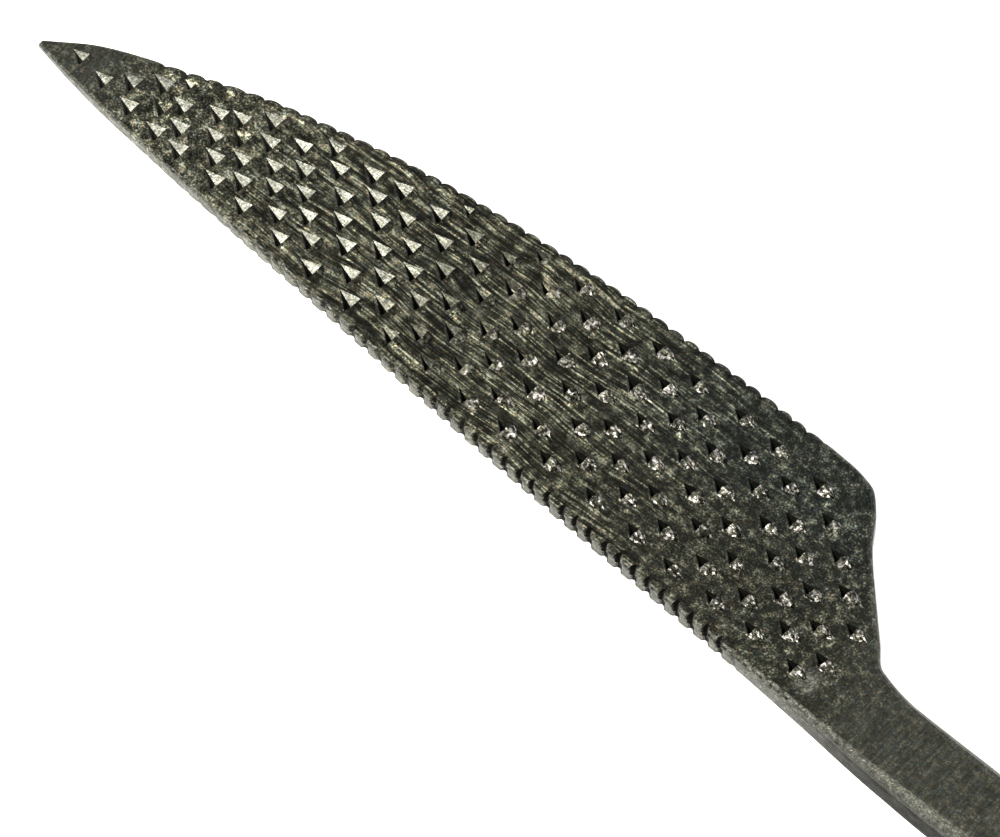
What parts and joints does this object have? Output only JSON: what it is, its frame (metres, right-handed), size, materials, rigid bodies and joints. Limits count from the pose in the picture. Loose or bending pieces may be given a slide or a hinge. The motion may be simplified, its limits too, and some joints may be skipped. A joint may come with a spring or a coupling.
{
  "type": "wood rasp",
  "caption": "Hand-stitched wood rasp: knife-shaped steel blade with raised teeth on both faces and toothed edges, flat shank, brass ferrule and turned handle.",
  "frame": {"origin": "centre of the tool's bounding box in X and Y, on the surface under the handle's belly", "axes": "+X along the tool from the blade's tip to the handle's butt, +Y towards the blade's convex edge, +Z out of one stitched face"},
  "size_m": [0.222, 0.0288, 0.027],
  "materials": {
    "forged_steel": "dark hardened steel, satin, with grinding streaks and a fine speckle",
    "brass": "drawn brass, lightly tarnished",
    "beech": "turned beech, oiled"
  },
  "bodies": {
    "root": {"rasp_blade": "forged_steel", "ferrule": "brass", "handle": "beech"}
  },
  "joints": []
}
